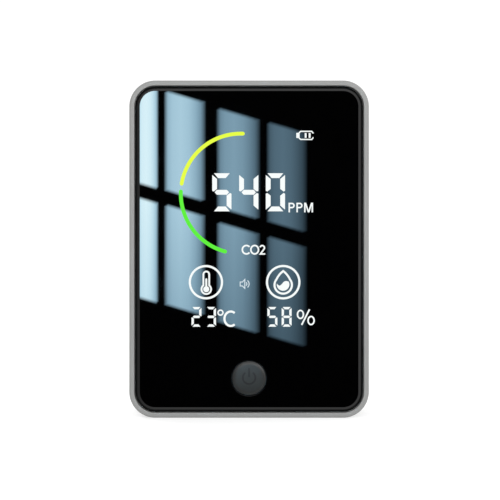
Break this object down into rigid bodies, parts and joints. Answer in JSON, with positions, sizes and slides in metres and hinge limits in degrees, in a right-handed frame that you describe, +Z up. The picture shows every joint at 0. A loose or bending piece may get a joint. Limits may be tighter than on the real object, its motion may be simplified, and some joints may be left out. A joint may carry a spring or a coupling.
{
  "type": "carbon dioxide monitor",
  "caption": "Upright slab-shaped carbon dioxide monitor with a black glass front, a lit seven-segment readout under a gauge arc, and a round power button.",
  "frame": {"origin": "middle of the base, where the monitor stands, halfway through its depth", "axes": "+Z up; the glass front faces -Y; +X to the right seen from the front"},
  "size_m": [0.07, 0.026, 0.0985],
  "materials": {
    "housing": "fine-textured moulded grey plastic",
    "glass": "polished black-backed glass",
    "button": "satin dark grey plastic",
    "reflector": "white diffuse plastic",
    "film": "smoked display film",
    "tape": "black adhesive foam tape",
    "board": "green solder mask",
    "chip": "black moulded epoxy",
    "steel": "plated steel",
    "brass": "gold-plated brass",
    "cell": "aluminium foil laminate",
    "white": "white plastic",
    "foam": "black foam rubber",
    "mesh": "fine black mesh",
    "red": "red wire insulation",
    "light_white": "clear plastic lit white",
    "light_yellow": "clear plastic lit yellow",
    "light_green": "clear plastic lit green"
  },
  "bodies": {
    "case": {"front_housing": "housing", "rear_housing": "housing", "front_glass": "glass", "glass_adhesive": "tape", "display_film": "film", "display_reflector": "reflector", "main_board": "board", "microcontroller": "chip", "led_driver": "chip", "charger_chip": "chip", "power_inductor": "foam", "crystal": "steel", "capacitor_1": "cell", "capacitor_2": "cell", "switch_base": "chip", "switch_cover": "steel", "switch_dome": "steel", "usb_shell": "steel", "usb_tongue": "chip", "gas_sensor_board": "board", "gas_sensor_chamber": "brass", "gas_sensor_filter": "white", "gas_sensor_header_left": "chip", "gas_sensor_header_right": "chip", "gas_sensor_gasket": "foam", "humidity_sensor_board": "board", "humidity_sensor": "white", "battery_cell": "cell", "battery_tape": "tape", "battery_socket": "white", "battery_plug": "white", "battery_lead_positive": "red", "battery_lead_negative": "tape", "buzzer": "chip", "vent_mesh_left": "mesh", "vent_mesh_right": "mesh", "grille_mesh": "mesh", "case_screw_1": "steel", "case_screw_2": "steel", "case_screw_3": "steel", "case_screw_4": "steel", "board_screw_1": "steel", "board_screw_2": "steel", "board_screw_3": "steel", "board_screw_4": "steel", "gauge_high_guide": "reflector", "gauge_middle_guide": "light_yellow", "gauge_low_guide": "light_green", "temperature_icon_guide": "light_white", "humidity_icon_guide": "light_white", "gas_unit_guide": "light_white", "gas_name_guide": "light_white", "battery_level_guide": "light_white", "alarm_sign_guide": "light_white", "temperature_unit_guide": "light_white", "humidity_unit_guide": "light_white"},
    "button": {"power_button": "button"},
    "plunger": {"switch_plunger": "chip"}
  },
  "joints": [
    {"name": "button_press", "type": "slide", "parent": "case", "child": "button", "axis": [0, 1, 0], "range_m": [0, 0.00035], "stiffness_N_per_m": 4000},
    {"name": "plunger_press", "type": "slide", "parent": "case", "child": "plunger", "axis": [0, 1, 0], "range_m": [0, 0.00035]}
  ],
  "couplings": [
    {"joint": "plunger_press", "follows": "button_press", "ratio": 1}
  ]
}
